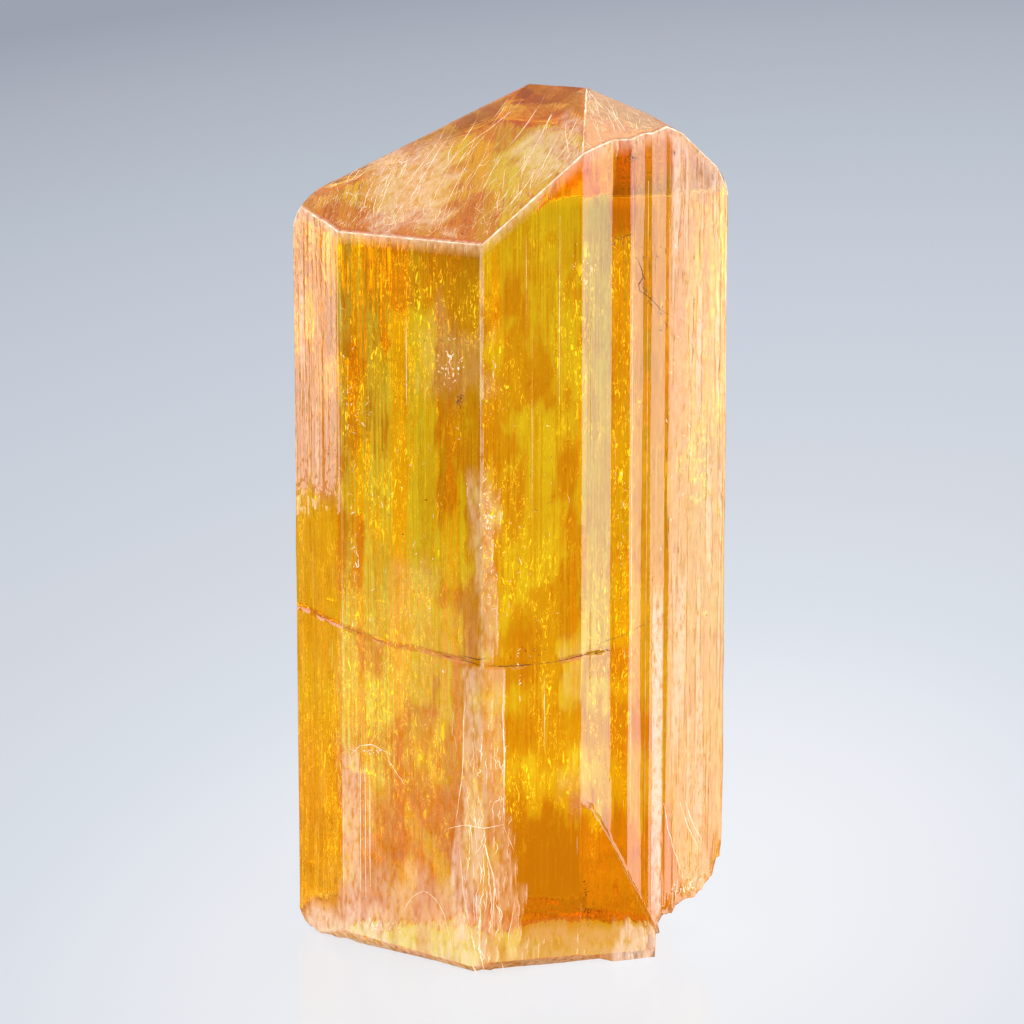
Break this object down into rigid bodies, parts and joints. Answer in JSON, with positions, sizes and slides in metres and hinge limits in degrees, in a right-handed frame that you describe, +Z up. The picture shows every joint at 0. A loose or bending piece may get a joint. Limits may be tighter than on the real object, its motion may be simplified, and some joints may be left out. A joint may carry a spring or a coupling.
{
  "type": "topaz crystal",
  "caption": "Single golden orange topaz crystal: a striated prism with a slanting roof and worn shoulders, standing on its flat broken base.",
  "frame": {"origin": "centre of the bounding box at the flat of the broken base, which is the plane that the crystal stands on", "axes": "+Z up along the prism's length, -Y towards the front edge between the two broad front faces, +X towards the rounded right shoulder"},
  "size_m": [0.022, 0.0154, 0.045],
  "materials": {
    "topaz": "clear golden orange crystal, finely striated prism faces, etched roof faces"
  },
  "bodies": {
    "root": {"topaz_crystal": "topaz"}
  },
  "joints": []
}
